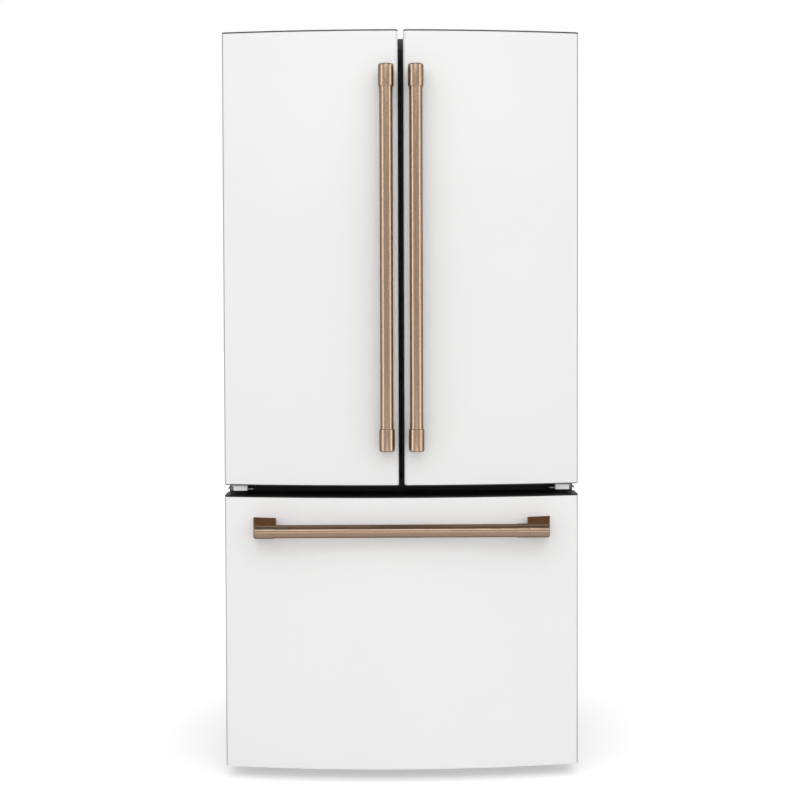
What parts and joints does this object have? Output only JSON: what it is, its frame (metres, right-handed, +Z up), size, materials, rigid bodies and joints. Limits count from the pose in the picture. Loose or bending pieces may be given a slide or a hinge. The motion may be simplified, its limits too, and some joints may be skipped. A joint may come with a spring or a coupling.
{
  "type": "french door refrigerator",
  "caption": "Bowed-front refrigerator with two swinging fresh-food doors over a sliding freezer drawer, with tubular bar handles and fitted insides.",
  "frame": {"origin": "on the floor, under the middle of the whole object", "axes": "+Z up, the fronts face -Y, +X to the right as seen from the front"},
  "size_m": [0.832, 0.79, 1.773],
  "materials": {
    "case_paint": "dark charcoal powder paint, fine texture",
    "galvanised": "galvanised sheet",
    "foam": "rigid insulating foam",
    "liner_plastic": "white moulded liner, slight gloss",
    "trim_black": "black plastic, matte",
    "frame_steel": "dark painted sheet steel",
    "compressor_black": "black enamel",
    "tube_black": "black painted steel tube",
    "grey_plastic": "dark grey plastic",
    "fin_aluminium": "bare aluminium",
    "white_plastic": "white plastic",
    "lens": "frosted lens",
    "shelf_white": "white coated steel",
    "shelf_glass": "clear toughened glass, slightly green",
    "zinc": "zinc plated steel",
    "screw_steel": "plain steel",
    "roller_plastic": "black nylon",
    "clear_plastic": "clear moulded plastic",
    "door_white": "matte white powder paint",
    "seal_rubber": "soft black seal",
    "cap_grey": "dark grey plastic",
    "cap_black": "black plastic",
    "bronze": "brushed bronze finish on stainless steel"
  },
  "bodies": {
    "cabinet": {"cabinet_shell": "case_paint", "back_panel": "galvanised", "foam_insulation": "foam", "fresh_food_liner": "liner_plastic", "freezer_liner": "liner_plastic", "mullion_trim": "trim_black", "base_frame": "frame_steel", "toe_grille": "trim_black", "rear_cover": "frame_steel", "compressor": "compressor_black", "condenser": "tube_black", "drain_pan": "grey_plastic", "evaporator": "fin_aluminium", "evaporator_cover": "white_plastic", "air_duct": "white_plastic", "control_panel": "white_plastic", "light_lens": "lens", "shelf_rails": "shelf_white", "shelf_frames": "shelf_white", "shelf_glass": "shelf_glass", "hinge_brackets": "zinc", "hinge_blocks": "white_plastic", "hinge_covers": "case_paint", "outer_rails": "galvanised", "mullion_guide": "trim_black", "screws": "screw_steel"},
    "left_door": {"left_door_skin": "door_white", "left_door_liner": "liner_plastic", "left_door_gasket": "seal_rubber", "left_door_caps": "cap_grey", "left_handle_bar": "bronze", "left_handle_ends": "bronze", "left_door_bins": "clear_plastic", "mullion_pivots": "zinc"},
    "right_door": {"right_door_skin": "door_white", "right_door_liner": "liner_plastic", "right_door_gasket": "seal_rubber", "right_door_caps": "cap_grey", "right_handle_bar": "bronze", "right_handle_ends": "bronze", "right_door_bins": "clear_plastic"},
    "centre_bar": {"mullion_bar": "trim_black"},
    "drawer": {"freezer_skin": "door_white", "freezer_front_liner": "liner_plastic", "freezer_gasket": "seal_rubber", "freezer_caps": "cap_black", "freezer_handle_bar": "bronze", "freezer_handle_ends": "bronze", "basket_frame": "galvanised", "lower_basket": "clear_plastic"},
    "slide_members": {"slide_middles": "galvanised"},
    "tray": {"upper_tray": "clear_plastic"},
    "left_crisper": {"left_crisper": "clear_plastic"},
    "right_crisper": {"right_crisper": "clear_plastic"},
    "humidity_slider": {"humidity_slider": "white_plastic"},
    "left_leg": {"left_leg": "screw_steel"},
    "right_leg": {"right_leg": "screw_steel"},
    "rear_rollers": {"rear_rollers": "roller_plastic"},
    "condenser_fan": {"condenser_fan": "grey_plastic"},
    "evaporator_fan": {"evaporator_fan": "white_plastic"}
  },
  "joints": [
    {"name": "left_door_hinge", "type": "hinge", "parent": "cabinet", "child": "left_door", "pos_m": [-0.394, -0.271, 1.2], "axis": [0, 0, -1], "range_deg": [0, 115]},
    {"name": "right_door_hinge", "type": "hinge", "parent": "cabinet", "child": "right_door", "pos_m": [0.394, -0.271, 1.2], "axis": [0, 0, 1], "range_deg": [0, 115]},
    {"name": "centre_bar_fold", "type": "hinge", "parent": "left_door", "child": "centre_bar", "pos_m": [-0.024, -0.2196, 1.2], "axis": [0, 0, -1], "range_deg": [0, 88]},
    {"name": "drawer_slide", "type": "slide", "parent": "cabinet", "child": "drawer", "axis": [0, -1, 0], "range_m": [0, 0.4]},
    {"name": "slide_member_slide", "type": "slide", "parent": "cabinet", "child": "slide_members", "axis": [0, -1, 0], "range_m": [0, 0.2]},
    {"name": "tray_slide", "type": "slide", "parent": "drawer", "child": "tray", "axis": [0, -1, 0], "range_m": [0, 0.13]},
    {"name": "left_crisper_slide", "type": "slide", "parent": "cabinet", "child": "left_crisper", "axis": [0, -1, 0], "range_m": [0, 0.088]},
    {"name": "right_crisper_slide", "type": "slide", "parent": "cabinet", "child": "right_crisper", "axis": [0, -1, 0], "range_m": [0, 0.088]},
    {"name": "humidity_slide", "type": "slide", "parent": "cabinet", "child": "humidity_slider", "axis": [1, 0, 0], "range_m": [0, 0.03]},
    {"name": "left_leg_turn", "type": "hinge", "parent": "cabinet", "child": "left_leg", "pos_m": [-0.35, -0.187, 0.03], "axis": [0, 0, 1], "continuous": true},
    {"name": "right_leg_turn", "type": "hinge", "parent": "cabinet", "child": "right_leg", "pos_m": [0.35, -0.187, 0.03], "axis": [0, 0, 1], "continuous": true},
    {"name": "rear_roller_spin", "type": "hinge", "parent": "cabinet", "child": "rear_rollers", "pos_m": [0, 0.34, 0.025], "axis": [1, 0, 0], "continuous": true},
    {"name": "condenser_fan_spin", "type": "hinge", "parent": "cabinet", "child": "condenser_fan", "pos_m": [0.014, 0.28, 0.16], "axis": [1, 0, 0], "continuous": true},
    {"name": "evaporator_fan_spin", "type": "hinge", "parent": "cabinet", "child": "evaporator_fan", "pos_m": [0, 0.299, 0.59], "axis": [0, 1, 0], "continuous": true}
  ],
  "couplings": [
    {"joint": "slide_member_slide", "follows": "drawer_slide", "ratio": 0.5}
  ]
}
